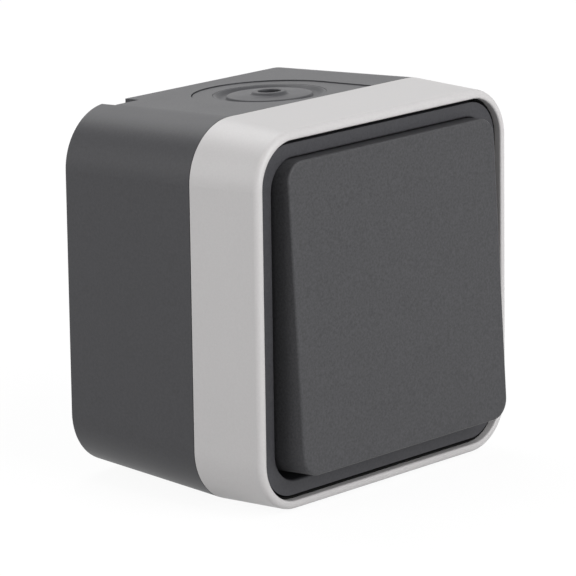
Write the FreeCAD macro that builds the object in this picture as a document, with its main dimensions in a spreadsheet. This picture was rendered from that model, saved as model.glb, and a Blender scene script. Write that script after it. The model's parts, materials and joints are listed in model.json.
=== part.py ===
import FreeCAD, Part
import math
import os
from types import SimpleNamespace

import Sketcher

Vector = FreeCAD.Vector
Constraint = Sketcher.Constraint

# A surface-mounted weatherproof switch with one large rocker.
# X runs to the right, Y into the wall and Z up. The origin is the middle of the wall face.
# Pieces are drawn with x to the right, y up and z as the distance from the wall, then stood up.

DRIVING = {
    # Outlines: the seam, and how far each other outline lies within the one before
    "seam_size": 75.0,
    "wall_draft": 1.5,
    "front_draft": 0.7,
    "lip_width": 1.8,
    "bezel_gap": 0.85,
    "bezel_width": 2.8,
    "rocker_gap": 1.05,
    "wall_corner": 11.7,
    "seam_corner": 11.6,
    "front_corner": 10.4,
    "lip_corner": 8.4,
    "bezel_corner": 7.3,
    "opening_corner": 6.0,
    "rocker_corner": 4.0,
    # Depths: the box, and how far each other level lies from the one it is built on
    "box_depth": 34.3,
    "seam_gap": 0.15,
    "cover_height": 16.7,
    "bezel_drop": 1.2,
    "rocker_rise": 5.0,
    "rocker_height": 12.3,
    "flange_rise": 2.9,
    "pivot_rise": 2.0,
    "lid_drop": 4.8,
    "insert_height": 17.5,
    "strip_rise": 3.5,
    "fulcrum_rise": 3.5,
    # Box
    "box_wall": 2.6,
    "floor": 2.4,
    "shoulder": 1.6,
    "tongue_height": 2.2,
    "fixing_span": 48.0,
    "fixing_radius": 2.3,
    "seat_radius": 5.6,
    "seat_height": 1.4,
    "post_place": 28.0,
    "post_radius": 4.0,
    "post_hole": 1.6,
    "post_hole_depth": 14.0,
    "notch_start": 19.0,
    "notch_end": 25.6,
    "notch_depth": 3.7,
    "notch_height": 1.6,
    "drain_margin": 5.0,
    "drain_width": 2.0,
    "drain_height": 0.8,
    "knockout_radius": 10.0,
    "knockout_width": 0.8,
    "knockout_depth": 1.2,
    # Cable entries
    "entry_foot": 5.6,
    "entry_radius": 15.4,
    "entry_gap": 0.22,
    "slide_recess": 0.2,
    "slide_flange": 1.6,
    "slide_flange_height": 1.4,
    "slide_play": 0.15,
    "membrane_radius": 11.2,
    "membrane_margin": 2.1,
    "membrane_gap": 0.05,
    "ledge_width": 1.6,
    "rim_width": 0.4,
    "trough_start": 1.3,
    "trough_end": 2.4,
    "trough_drop": 0.75,
    "plateau_start": 2.9,
    "plateau_drop": 0.3,
    "nipple_base": 4.5,
    "nipple_radius": 2.8,
    "nipple_height": 0.3,
    "dimple_radius": 2.3,
    "dimple_slope": 0.25,
    "dimple_drop": 1.5,
    "membrane_skin": 0.9,
    # Seals
    "gasket_height": 1.0,
    "gasket_outset": 0.65,
    "gasket_fit": 0.05,
    "hole_seal_radius": 4.6,
    "hole_seal_gap": 0.3,
    "hole_seal_height": 1.2,
    "seal_margin": 0.35,
    "seal_rim": 1.0,
    "seal_skin": 0.6,
    "seal_gap_across": 1.9,
    "seal_gap_up": 2.3,
    "seal_collar": 0.8,
    # Cover frame
    "cover_wall": 1.35,
    "lip_height": 1.6,
    "lip_round": 1.2,
    "lip_inner_round": 0.4,
    "flange_height": 1.4,
    "flange_margin": 0.2,
    "clip_place": 14.0,
    "clip_width": 8.0,
    "clip_wall": 1.4,
    "clip_gap": 0.3,
    "clip_nose": 0.7,
    "clip_reach": 4.7,
    "clip_height": 1.9,
    # Bezel
    "bezel_height": 1.4,
    "bezel_wall": 1.2,
    "bezel_rim": 3.4,
    "bezel_round": 0.4,
    # Rocker
    "rocker_round": 0.45,
    "rocker_wall": 1.8,
    "rocker_roof": 2.0,
    "rocker_tilt": 3.3,
    "rib_thickness": 1.2,
    "rib_height": 4.0,
    "stud_across": 12.0,
    "stud_up": 16.0,
    "stud_radius": 2.4,
    # Carrier
    "carrier_width": 32.0,
    "carrier_length": 44.0,
    "carrier_plate": 2.0,
    "neck_gap": 0.8,
    "neck_length": 12.4,
    "neck_reach": 3.3,
    "shaft_radius": 2.0,
    "shaft_end": 0.4,
    "tube_radius": 3.7,
    "tube_reach": 11.3,
    "bore_margin": 1.3,
    # Plunger and its spring
    "plunger_radius": 2.25,
    "plunger_gap": 0.1,
    "plunger_lift": 2.1,
    "plunger_length": 8.5,
    "spring_radius": 1.75,
    "spring_wire": 0.45,
    "spring_turns": 5.0,
    "spring_gap": 0.2,
    # Insert
    "insert_width": 44.0,
    "insert_length": 40.0,
    "insert_corner": 2.0,
    "lid_thickness": 2.2,
    "lid_opening_width": 12.0,
    "lid_opening_length": 13.0,
    "ear_margin": 4.5,
    "ear_width": 10.0,
    "ear_hole": 1.7,
    "bearing_gap": 0.06,
    "bearing_place": 9.4,
    "bearing_width": 4.8,
    "bearing_length": 9.0,
    "bearing_rise": 1.3,
    "chamber_width": 18.0,
    "chamber_gap": 2.9,
    "pocket_place": 15.5,
    "pocket_gap": 0.5,
    "contact_place": 11.0,
    "wire_radius": 1.7,
    "rivet_place": 18.0,
    "rivet_radius": 1.2,
    "rivet_head": 2.2,
    "rivet_head_height": 0.8,
    "hole_play": 0.05,
    # Contacts
    "strip_thickness": 0.8,
    "strip_width": 3.4,
    "strip_end": 3.0,
    "strip_start": 2.6,
    "fixed_tip_radius": 1.5,
    "fixed_tip_height": 0.7,
    "fulcrum_radius": 0.8,
    "fulcrum_web": 1.2,
    "arm_width": 6.4,
    "arm_end": 1.6,
    "arm_rise": 0.3,
    "arm_thickness": 1.5,
    "arm_tilt": 5.5,
    "arm_groove": 0.9,
    "moving_tip_radius": 1.4,
    "moving_tip_height": 0.8,
    # Terminals
    "clamp_size": 7.0,
    "clamp_height": 9.0,
    "clamp_window": 4.0,
    "clamp_wall": 1.1,
    "terminal_screw": 1.65,
    "terminal_lift": 2.0,
    "terminal_head": 2.3,
    "terminal_head_height": 1.8,
    "screw_access": 2.5,
    # Insert screws
    "screw_radius": 1.55,
    "screw_length": 9.5,
    "screw_head": 2.9,
    "screw_head_height": 2.0,
    "driver_slot": 0.7,
    "driver_slot_depth": 0.9,
}

doc = FreeCAD.newDocument("weatherproof_switch")
sheet = doc.addObject("Spreadsheet::Sheet", "sizes")
for row, (alias, amount) in enumerate(DRIVING.items(), start=1):
    sheet.set("A%d" % row, alias)
    sheet.set("B%d" % row, str(amount))
    sheet.setAlias("B%d" % row, alias)
doc.recompute()


class Size:
    """An amount in millimetres or degrees, with the sheet formula that gives it."""

    def __init__(self, number, formula):
        self.number = number
        self.formula = formula

    @staticmethod
    def of(item):
        return item if isinstance(item, Size) else Size(float(item), repr(float(item)))

    def join(self, other, sign, number):
        return Size(number, "(%s %s %s)" % (self.formula, sign, Size.of(other).formula))

    def __add__(self, other):
        return self.join(other, "+", self.number + Size.of(other).number)

    def __sub__(self, other):
        return self.join(other, "-", self.number - Size.of(other).number)

    def __mul__(self, other):
        return self.join(other, "*", self.number * Size.of(other).number)

    def __truediv__(self, other):
        return self.join(other, "/", self.number / Size.of(other).number)

    def __radd__(self, other):
        return Size.of(other) + self

    def __rsub__(self, other):
        return Size.of(other) - self

    def __rmul__(self, other):
        return Size.of(other) * self

    def __neg__(self):
        return Size.of(0) - self


size = SimpleNamespace(**{name: Size(amount, "sizes." + name) for name, amount in DRIVING.items()})


def between(start, end, share):
    """A size that lies a share of the way from one size to another."""
    return start + (end - start) * share


# Outlines
size.wall_size = size.seam_size - size.wall_draft * 2
size.front_size = size.seam_size - size.front_draft * 2
size.lip_opening = size.front_size - size.lip_width * 2
size.bezel_size = size.lip_opening - size.bezel_gap * 2
size.bezel_opening = size.bezel_size - size.bezel_width * 2
size.rocker_size = size.bezel_opening - size.rocker_gap * 2
size.flange_opening = size.bezel_opening + size.flange_margin * 2
size.seal_size = size.bezel_size + size.seal_margin * 2

# Depths
size.lip_depth = size.box_depth + size.cover_height
size.bezel_depth = size.lip_depth - size.bezel_drop
size.rocker_depth = size.bezel_depth + size.rocker_rise
size.rocker_foot = size.rocker_depth - size.rocker_height
size.flange_depth = size.box_depth + size.flange_rise
size.pivot_depth = size.box_depth + size.pivot_rise
size.lid_depth = size.box_depth - size.lid_drop
size.base_depth = size.lid_depth - size.insert_height
size.strip_depth = size.base_depth + size.strip_rise
size.fulcrum_depth = size.strip_depth + size.fulcrum_rise
size.clip_depth = size.box_depth - size.clip_reach
size.screw_end = size.lid_depth - size.screw_length

# Cable entries
size.entry_depth = size.entry_radius + size.entry_foot
size.membrane_depth = size.box_depth - size.membrane_margin - size.membrane_radius
size.membrane_ledge = size.membrane_radius - size.ledge_width

# Rocker's carrier and plunger
size.neck_width = (size.bearing_place - size.neck_gap) * 2
size.neck_depth = size.pivot_depth - size.neck_reach
size.shaft_length = (size.bearing_place + size.bearing_width + size.shaft_end) * 2
size.tube_depth = size.pivot_depth - size.tube_reach
size.bore_end = size.pivot_depth - size.bore_margin
size.bore_radius = size.plunger_radius + size.plunger_gap
size.plunger_tip = size.fulcrum_depth + size.plunger_lift
size.plunger_end = size.plunger_tip + size.plunger_length
size.seal_hole_width = size.neck_width + size.seal_gap_across * 2
size.seal_hole_height = size.neck_length + size.seal_gap_up * 2

# Insert and contacts
size.ear_reach = size.post_place + size.ear_margin
size.arm_length = (size.contact_place + size.arm_end) * 2
size.chamber_length = size.arm_length + size.chamber_gap * 2
size.pocket_size = size.clamp_size + size.pocket_gap * 2
size.strip_reach = size.pocket_place + size.strip_end

# Sizes that several pieces share
cover_depth = size.box_depth + size.seam_gap
flange_top = size.flange_depth + size.flange_height
skirt_depth = flange_top + size.seal_rim
lid_top = size.lid_depth + size.lid_thickness
carrier_top = size.rocker_foot + size.carrier_plate
strip_top = size.strip_depth + size.strip_thickness
clamp_top = strip_top + size.clamp_height
window_middle = strip_top + size.clamp_wall + size.clamp_window / 2
slide_foot = size.box_wall + size.slide_play
cavity_seam = size.seam_size - size.box_wall * 2
cavity_corner = size.seam_corner - size.box_wall
tongue_size = size.seam_size - size.shoulder * 2
box_slope = size.wall_draft / size.box_depth
clip_wall_half = size.wall_size / 2 - size.box_wall + box_slope * size.clip_depth


def bind(item, path, amount):
    """Bind a property of an object to the sheet."""
    item.setExpression(path, Size.of(amount).formula)


def new_body(label):
    """An empty body that may hold several separate solids."""
    body = doc.addObject("PartDesign::Body", label)
    body.Label = label
    body.AllowCompound = True
    return body


def origin_plane(body, role):
    """One of the body's own origin planes."""
    return next(item for item in body.Origin.OriginFeatures if item.Role == role)


def new_sketch(body, at=(0, 0, 0), plane="XY_Plane"):
    """A sketch on an origin plane, moved in the plane by at[0] and at[1] and off it by at[2]."""
    sketch = body.newObject("Sketcher::SketchObject", body.Label + "_sketch")
    sketch.AttachmentSupport = [(origin_plane(body, plane), "")]
    sketch.MapMode = "FlatFace"
    for axis, amount in zip("xyz", at):
        bind(sketch, "AttachmentOffset.Base." + axis, amount)
    return sketch


def dimension(sketch, constraint, amount):
    """Add a named constraint whose value comes from the sheet."""
    index = sketch.addConstraint(constraint)
    name = "size_%d" % index
    sketch.renameConstraint(index, name)
    bind(sketch, "Constraints." + name, amount)


def rounded(sketch, width, height, radius):
    """A rectangle with round corners, centred on the sketch's origin."""
    width, height, radius = Size.of(width), Size.of(height), Size.of(radius)
    first = sketch.GeometryCount
    half_width, half_height, turn = width.number / 2, height.number / 2, radius.number
    across, up = half_width - turn, half_height - turn
    starts = [(-across, -half_height), (half_width, -up), (across, half_height), (-half_width, up)]
    ends = [(across, -half_height), (half_width, up), (-across, half_height), (-half_width, -up)]
    centres = [(across, -up), (across, up), (-across, up), (-across, -up)]
    shapes = []
    for corner in range(4):
        shapes.append(Part.LineSegment(Vector(*starts[corner], 0), Vector(*ends[corner], 0)))
        circle = Part.Circle(Vector(*centres[corner], 0), Vector(0, 0, 1), turn)
        angle = math.radians(90 * corner - 90)
        shapes.append(Part.ArcOfCircle(circle, angle, angle + math.pi / 2))
    sketch.addGeometry(shapes, False)
    for corner in range(4):
        line = first + 2 * corner
        arc = line + 1
        following = first + (2 * corner + 2) % 8
        sketch.addConstraint(Constraint("Tangent", line, 2, arc, 1))
        sketch.addConstraint(Constraint("Tangent", arc, 2, following, 1))
        sketch.addConstraint(Constraint("Vertical" if corner % 2 else "Horizontal", line))
        if corner:
            sketch.addConstraint(Constraint("Equal", first + 1, arc))
    sketch.addConstraint(Constraint("Symmetric", first + 1, 3, first + 5, 3, -1, 1))
    dimension(sketch, Constraint("Radius", first + 1, turn), radius)
    dimension(sketch, Constraint("DistanceX", first + 6, 1, first + 2, 1, width.number), width)
    dimension(sketch, Constraint("DistanceY", first, 1, first + 4, 1, height.number), height)


def circle(sketch, radius):
    """A circle about the sketch's origin."""
    radius = Size.of(radius)
    index = sketch.addGeometry(Part.Circle(Vector(0, 0, 0), Vector(0, 0, 1), radius.number), False)
    sketch.addConstraint(Constraint("Coincident", index, 3, -1, 1))
    dimension(sketch, Constraint("Radius", index, radius.number), radius)


def polygon(sketch, points):
    """A closed outline of straight lines through the points."""
    first = sketch.GeometryCount
    places = [(Size.of(across), Size.of(up)) for across, up in points]
    corners = [Vector(across.number, up.number, 0) for across, up in places]
    count = len(corners)
    sketch.addGeometry([Part.LineSegment(corners[k - 1], corners[k]) for k in range(count)], False)
    for k in range(count):
        sketch.addConstraint(Constraint("Coincident", first + k, 2, first + (k + 1) % count, 1))
    for k, (across, up) in enumerate(places):
        for kind, amount, axis in (("DistanceX", across, -2), ("DistanceY", up, -1)):
            if amount.formula == "0.0":
                sketch.addConstraint(Constraint("PointOnObject", first + k, 2, axis))
            else:
                distance = Constraint(kind, -1, 1, first + k, 2, amount.number)
                dimension(sketch, distance, amount)


def rectangle(sketch, width, height):
    """A rectangle centred on the sketch's origin."""
    across, up = Size.of(width) / 2, Size.of(height) / 2
    polygon(sketch, [(-across, -up), (across, -up), (across, up), (-across, up)])


def horseshoe(sketch, radius, reach):
    """A half circle about the sketch's origin, closed by straight sides that run up to reach."""
    radius, reach = Size.of(radius), Size.of(reach)
    first = sketch.GeometryCount
    turn, end = radius.number, reach.number
    arc = Part.ArcOfCircle(Part.Circle(Vector(0, 0, 0), Vector(0, 0, 1), turn), math.pi, 2 * math.pi)
    right = Part.LineSegment(Vector(turn, 0, 0), Vector(turn, end, 0))
    top = Part.LineSegment(Vector(turn, end, 0), Vector(-turn, end, 0))
    left = Part.LineSegment(Vector(-turn, end, 0), Vector(-turn, 0, 0))
    sketch.addGeometry([arc, right, top, left], False)
    sketch.addConstraint(Constraint("Coincident", first, 3, -1, 1))
    sketch.addConstraint(Constraint("Tangent", first, 2, first + 1, 1))
    sketch.addConstraint(Constraint("Tangent", first + 3, 2, first, 1))
    sketch.addConstraint(Constraint("Coincident", first + 1, 2, first + 2, 1))
    sketch.addConstraint(Constraint("Coincident", first + 2, 2, first + 3, 1))
    sketch.addConstraint(Constraint("Vertical", first + 1))
    sketch.addConstraint(Constraint("Vertical", first + 3))
    sketch.addConstraint(Constraint("Horizontal", first + 2))
    dimension(sketch, Constraint("Radius", first, turn), radius)
    dimension(sketch, Constraint("DistanceY", -1, 1, first + 1, 2, end), reach)


def round_nose(sketch, radius, tip, end):
    """Half the outline of a pin whose round nose starts at tip, beside the sketch's upright axis."""
    radius, tip, end = Size.of(radius), Size.of(tip), Size.of(end)
    first = sketch.GeometryCount
    side, low, high = radius.number, tip.number, end.number
    middle = Vector(0, low + side, 0)
    arc = Part.ArcOfCircle(Part.Circle(middle, Vector(0, 0, 1), side), -math.pi / 2, 0)
    flank = Part.LineSegment(Vector(side, low + side, 0), Vector(side, high, 0))
    top = Part.LineSegment(Vector(side, high, 0), Vector(0, high, 0))
    spine = Part.LineSegment(Vector(0, high, 0), Vector(0, low, 0))
    sketch.addGeometry([arc, flank, top, spine], False)
    sketch.addConstraint(Constraint("PointOnObject", first, 3, -2))
    sketch.addConstraint(Constraint("PointOnObject", first, 1, -2))
    sketch.addConstraint(Constraint("Tangent", first, 2, first + 1, 1))
    sketch.addConstraint(Constraint("Coincident", first + 1, 2, first + 2, 1))
    sketch.addConstraint(Constraint("Coincident", first + 2, 2, first + 3, 1))
    sketch.addConstraint(Constraint("Coincident", first + 3, 2, first, 1))
    sketch.addConstraint(Constraint("Vertical", first + 1))
    sketch.addConstraint(Constraint("Horizontal", first + 2))
    sketch.addConstraint(Constraint("Vertical", first + 3))
    dimension(sketch, Constraint("Radius", first, side), radius)
    dimension(sketch, Constraint("DistanceY", -1, 1, first, 1, low), tip)
    dimension(sketch, Constraint("DistanceY", -1, 1, first + 1, 2, high), end)


def pad(body, sketch, length):
    """Add material from the sketch along its normal."""
    feature = body.newObject("PartDesign::Pad", body.Label + "_pad")
    feature.Profile = sketch
    bind(feature, "Length", length)
    return feature


def pocket(body, sketch, length):
    """Remove material from the sketch along its normal."""
    feature = body.newObject("PartDesign::Pocket", body.Label + "_pocket")
    feature.Profile = sketch
    feature.Reversed = True
    bind(feature, "Length", length)
    return feature


def turn(body, sketch):
    """Add the sketch turned about its own upright axis."""
    feature = body.newObject("PartDesign::Revolution", body.Label + "_turn")
    feature.Profile = sketch
    feature.ReferenceAxis = (sketch, ["V_Axis"])
    feature.Angle = 360
    return feature


def loft(body, start, end, removes=False):
    """Add or remove the straight-sided form between two sketches."""
    kind = "SubtractiveLoft" if removes else "AdditiveLoft"
    feature = body.newObject("PartDesign::" + kind, body.Label + "_loft")
    feature.Profile = start
    feature.Sections = [end]
    feature.Ruled = True
    return feature


def fillet(body, radius, chosen):
    """Round the edges of the body that the test picks."""
    doc.recompute()
    base = body.Tip
    names = ["Edge%d" % (k + 1) for k, edge in enumerate(base.Shape.Edges) if chosen(edge)]
    feature = body.newObject("PartDesign::Fillet", body.Label + "_fillet")
    feature.Base = (base, names)
    bind(feature, "Radius", radius)
    return feature


def lies_at(edge, depth, low=0.0, high=1000.0):
    """True for an edge at one depth whose far side is between low and high from the middle."""
    box = edge.BoundBox
    depth = Size.of(depth).number
    reach = max(abs(box.XMin), abs(box.XMax), abs(box.YMin), abs(box.YMax))
    level = abs(box.ZMin - depth) < 0.01 and abs(box.ZMax - depth) < 0.01
    return level and Size.of(low).number - 0.01 < reach < Size.of(high).number + 0.01


def stand(about=0.0, pivot=0.0):
    """Stand a piece up on the wall, tipped by an angle about a level axis at the pivot's depth."""
    upright = FreeCAD.Placement(Vector(0, 0, 0), FreeCAD.Rotation(Vector(1, 0, 0), 90))
    angle, depth = Size.of(about).number, Size.of(pivot).number
    tip = FreeCAD.Placement(Vector(0, 0, 0), FreeCAD.Rotation(Vector(1, 0, 0), angle), Vector(0, -depth, 0))
    return tip.multiply(upright)


def block(body, width, length, low, high, at=(0, 0), corner=None, removes=False):
    """Add or remove an upright block between two depths."""
    sketch = new_sketch(body, (at[0], at[1], low))
    if corner is None:
        rectangle(sketch, width, length)
    else:
        rounded(sketch, width, length, corner)
    make = pocket if removes else pad
    return make(body, sketch, Size.of(high) - low)


def rod(body, radius, low, high, at=(0, 0), removes=False):
    """Add or remove a round rod between two depths."""
    sketch = new_sketch(body, (at[0], at[1], low))
    circle(sketch, radius)
    make = pocket if removes else pad
    return make(body, sketch, Size.of(high) - low)


def ring(body, outer, outer_corner, inner, inner_corner, low, high):
    """Add a square ring with round corners between two depths."""
    sketch = new_sketch(body, (0, 0, low))
    rounded(sketch, outer, outer, outer_corner)
    rounded(sketch, inner, inner, inner_corner)
    return pad(body, sketch, Size.of(high) - low)


def back_box():
    """Drafted shell with seam tongue, cable slots, posts, fixing holes, knock-out and notches."""
    body = new_body("back_box")
    outlines = []
    for depth in (Size.of(0), size.notch_depth, size.box_depth):
        share = depth / size.box_depth
        level = between(size.wall_size, size.seam_size, share)
        outlines.append(new_sketch(body, (0, 0, depth)))
        rounded(outlines[-1], level, level, between(size.wall_corner, size.seam_corner, share))
    loft(body, outlines[0], outlines[1])
    loft(body, outlines[1], outlines[2])
    floor_size = between(size.wall_size, size.seam_size, size.floor / size.box_depth) - size.box_wall * 2
    at_floor = new_sketch(body, (0, 0, size.floor))
    rounded(at_floor, floor_size, floor_size, size.wall_corner - size.box_wall)
    at_mouth = new_sketch(body, (0, 0, size.box_depth))
    rounded(at_mouth, cavity_seam, cavity_seam, cavity_corner)
    loft(body, at_floor, at_mouth, removes=True)
    ring(body, tongue_size, size.seam_corner - size.shoulder, cavity_seam, cavity_corner,
         size.box_depth, size.box_depth + size.tongue_height)

    for side in (-1, 1):
        place = size.post_place * side
        rod(body, size.post_radius, size.floor, size.lid_depth, (place, 0))
        web = size.wall_size / 2 - size.post_place
        block(body, web, size.rib_thickness, size.floor, size.lid_depth - size.post_radius,
              ((size.post_place + web / 2) * side, 0))
        rod(body, size.post_hole, size.lid_depth - size.post_hole_depth, size.lid_depth,
            (place, 0), removes=True)
        for level in (-1, 1):
            corner = (size.fixing_span / 2 * side, size.fixing_span / 2 * level)
            rod(body, size.seat_radius, size.floor, size.floor + size.seat_height, corner)
            rod(body, size.fixing_radius, 0, size.floor + size.seat_height, corner, removes=True)
            groove = (clip_wall_half * side, size.clip_place * level)
            block(body, size.clip_nose * 2 + size.clip_gap, size.clip_width + size.clip_gap * 2,
                  size.clip_depth - size.clip_gap, size.clip_depth + size.clip_height + size.clip_gap,
                  groove, removes=True)

    drain = new_sketch(body)
    outer = size.wall_size - size.drain_margin * 2
    inner = outer - size.drain_width * 2
    rounded(drain, outer, outer, size.wall_corner - size.drain_margin)
    rounded(drain, inner, inner, size.wall_corner - size.drain_margin - size.drain_width)
    pocket(body, drain, size.drain_height)
    knockout = new_sketch(body)
    circle(knockout, size.knockout_radius)
    circle(knockout, size.knockout_radius - size.knockout_width)
    pocket(body, knockout, size.knockout_depth)

    for end in (-1, 1):
        far = size.seam_size / 2
        near = size.wall_size / 2 - size.notch_height
        across = (size.notch_start + size.notch_end) / 2
        block(body, size.notch_end - size.notch_start, far - near, 0, size.notch_depth,
              (across * -end, (far + near) / 2 * end), removes=True)
        inside = size.wall_size / 2 - slide_foot - size.slide_flange_height
        slot = new_sketch(body, (0, size.entry_depth, inside if end < 0 else -far - 1), "XZ_Plane")
        horseshoe(slot, size.entry_radius, size.box_depth + size.tongue_height + 1 - size.entry_depth)
        pocket(body, slot, far + 1 - inside)
    body.Placement = stand()
    return body


def entry_place(end):
    """Lay an entry piece into the top or the bottom wall, along the wall's sloping face."""
    turned = FreeCAD.Placement(Vector(0, 0, 0), FreeCAD.Rotation(Vector(0, 0, 1), 180))
    slope = math.degrees(math.atan(box_slope.number))
    lean = FreeCAD.Rotation(Vector(1, 0, 0), -slope)
    leaned = FreeCAD.Placement(Vector(0, 0, size.wall_size.number / 2), lean)
    side = FreeCAD.Placement(Vector(0, 0, 0), FreeCAD.Rotation(Vector(0, 1, 0), 90 - 90 * end))
    return side.multiply(leaned).multiply(turned)


def entry_slide(label, end):
    """Plate with a round end that slides into the wall, held by its inner flange."""
    body = new_body(label)
    middle = (0, size.entry_depth)
    hole = (0, size.membrane_depth)
    outline = size.entry_radius - size.entry_gap
    reach = size.box_depth - size.entry_depth - size.gasket_fit
    flange_foot = -slide_foot - size.slide_flange_height
    flange = new_sketch(body, (*middle, flange_foot))
    horseshoe(flange, size.entry_radius + size.slide_flange, reach)
    pad(body, flange, size.slide_flange_height)
    plate = new_sketch(body, (*middle, -slide_foot))
    horseshoe(plate, outline, reach)
    pad(body, plate, slide_foot - size.slide_recess)
    block(body, outline * 2, size.tongue_height * 2, -size.box_wall, -size.shoulder - size.slide_play,
          (0, size.box_depth - size.gasket_fit))
    rod(body, size.membrane_ledge, flange_foot, -slide_foot, hole, removes=True)
    rod(body, size.membrane_radius + size.membrane_gap, -slide_foot, -size.slide_recess, hole,
        removes=True)
    body.Placement = entry_place(end)
    return body


def entry_membrane(label, end):
    """Soft disc with a trough, a plateau and a dimpled nipple that a cable is pushed through."""
    body = new_body(label)
    rim = size.membrane_radius
    surface = -size.slide_recess
    trough = surface - size.trough_drop
    plateau = surface - size.plateau_drop
    top = size.nipple_height
    dimple = top - size.dimple_drop
    underside = trough - size.membrane_skin
    inner = size.membrane_ledge - size.entry_gap
    profile = new_sketch(body, (0, 0, -size.membrane_depth), "XZ_Plane")
    polygon(profile, [
        (rim, -slide_foot),
        (rim, surface),
        (rim - size.rim_width, surface),
        (rim - size.trough_start, trough),
        (rim - size.trough_end, trough),
        (rim - size.plateau_start, plateau),
        (size.nipple_base, plateau),
        (size.nipple_radius, top),
        (size.dimple_radius, top),
        (size.dimple_radius - size.dimple_slope, dimple),
        (0, dimple),
        (0, underside),
        (inner, underside),
        (inner, -slide_foot),
    ])
    turn(body, profile)
    body.Placement = entry_place(end)
    return body


def fixing_hole_seals():
    """Soft rings on the seats of the wall-fixing holes."""
    body = new_body("fixing_hole_seals")
    seat = size.floor + size.seat_height
    for side in (-1, 1):
        for level in (-1, 1):
            corner = (size.fixing_span / 2 * side, size.fixing_span / 2 * level)
            sketch = new_sketch(body, (*corner, seat))
            circle(sketch, size.hole_seal_radius)
            circle(sketch, size.fixing_radius + size.hole_seal_gap)
            pad(body, sketch, size.hole_seal_height)
    body.Placement = stand()
    return body


def cover_gasket():
    """Soft ring round the tongue, on the box's shoulder."""
    body = new_body("cover_gasket")
    inset = size.shoulder - size.gasket_fit
    ring(body, size.seam_size - size.gasket_outset * 2, size.seam_corner - size.gasket_outset,
         size.seam_size - inset * 2, size.seam_corner - inset,
         size.box_depth, size.box_depth + size.gasket_height)
    body.Placement = stand()
    return body


def cover_frame():
    """Tapered frame with a round lip, an inner flange and four clip arms."""
    body = new_body("cover_frame")
    at_seam = new_sketch(body, (0, 0, cover_depth))
    rounded(at_seam, size.seam_size, size.seam_size, size.seam_corner)
    lip_foot = size.lip_depth - size.lip_height
    at_lip = new_sketch(body, (0, 0, lip_foot))
    rounded(at_lip, size.front_size, size.front_size, size.front_corner)
    loft(body, at_seam, at_lip)
    rear_opening = size.seam_size - size.cover_wall * 2
    inner_rear = new_sketch(body, (0, 0, cover_depth))
    rounded(inner_rear, rear_opening, rear_opening, size.seam_corner - size.cover_wall)
    inner_front = new_sketch(body, (0, 0, lip_foot))
    rounded(inner_front, size.lip_opening, size.lip_opening, size.lip_corner)
    loft(body, inner_rear, inner_front, removes=True)
    ring(body, size.front_size, size.front_corner, size.lip_opening, size.lip_corner,
         lip_foot, size.lip_depth)
    fillet(body, size.lip_inner_round,
           lambda edge: lies_at(edge, size.lip_depth, 0, size.lip_opening / 2))
    fillet(body, size.lip_round,
           lambda edge: lies_at(edge, size.lip_depth, size.front_size / 2))

    inset = size.gasket_outset - size.gasket_fit
    block(body, size.seam_size - inset * 2, size.seam_size - inset * 2,
          cover_depth, size.box_depth + size.gasket_height, corner=size.seam_corner - inset,
          removes=True)
    ring(body, size.seam_size - size.cover_wall, size.seam_corner - size.cover_wall / 2,
         size.flange_opening, size.opening_corner, size.flange_depth, flange_top)

    outer = clip_wall_half - size.clip_gap
    inner = outer - size.clip_wall
    for side in (-1, 1):
        for level in (-1, 1):
            high = size.clip_place * level + size.clip_width / 2
            profile = new_sketch(body, (0, 0, -high), "XZ_Plane")
            polygon(profile, [
                (inner * side, size.clip_depth),
                (outer * side, size.clip_depth),
                ((outer + size.clip_nose) * side, size.clip_depth + size.clip_nose),
                ((outer + size.clip_nose) * side, size.clip_depth + size.clip_height),
                (outer * side, size.clip_depth + size.clip_height),
                (outer * side, flange_top),
                (inner * side, flange_top),
            ])
            pad(body, profile, size.clip_width)
    body.Placement = stand()
    return body


def bezel():
    """Ring between the frame's lip and the rocker, with a skirt that holds the diaphragm."""
    body = new_body("bezel")
    ring_foot = size.bezel_depth - size.bezel_height
    ring(body, size.bezel_size, size.bezel_corner, size.bezel_opening, size.opening_corner,
         ring_foot, size.bezel_depth)
    fillet(body, size.bezel_round,
           lambda edge: lies_at(edge, size.bezel_depth, 0, size.bezel_opening / 2))
    ring(body, size.bezel_opening + size.bezel_wall * 2, size.opening_corner + size.bezel_wall,
         size.bezel_opening, size.opening_corner, skirt_depth, ring_foot)
    ring(body, size.bezel_size, size.bezel_corner,
         size.bezel_size - size.bezel_wall * 2, size.bezel_corner - size.bezel_wall,
         ring_foot - size.bezel_rim, ring_foot)
    body.Placement = stand()
    return body


def rocker_seal():
    """Soft diaphragm with a thick rim and a collar round the carrier's neck."""
    body = new_body("rocker_seal")
    ring(body, size.seal_size, size.lip_corner, size.bezel_opening, size.opening_corner,
         flange_top, skirt_depth)
    skin_foot = flange_top + (size.seal_rim - size.seal_skin) / 2
    skin = new_sketch(body, (0, 0, skin_foot))
    rounded(skin, size.seal_size - size.seal_rim, size.seal_size - size.seal_rim, size.lip_corner)
    rounded(skin, size.seal_hole_width, size.seal_hole_height, size.insert_corner)
    pad(body, skin, size.seal_skin)
    collar = new_sketch(body, (0, 0, skin_foot))
    wide = size.seal_collar * 2
    rounded(collar, size.seal_hole_width + wide, size.seal_hole_height + wide,
            size.insert_corner + size.seal_collar)
    rounded(collar, size.seal_hole_width, size.seal_hole_height, size.insert_corner)
    pad(body, collar, size.seal_skin + size.seal_collar)
    body.Placement = stand()
    return body


def terminal_places():
    """Middle of each terminal, seen from the front."""
    return [
        (size.pocket_place, size.contact_place),
        (size.pocket_place, -size.contact_place),
        (-size.pocket_place, Size.of(0)),
    ]


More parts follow.
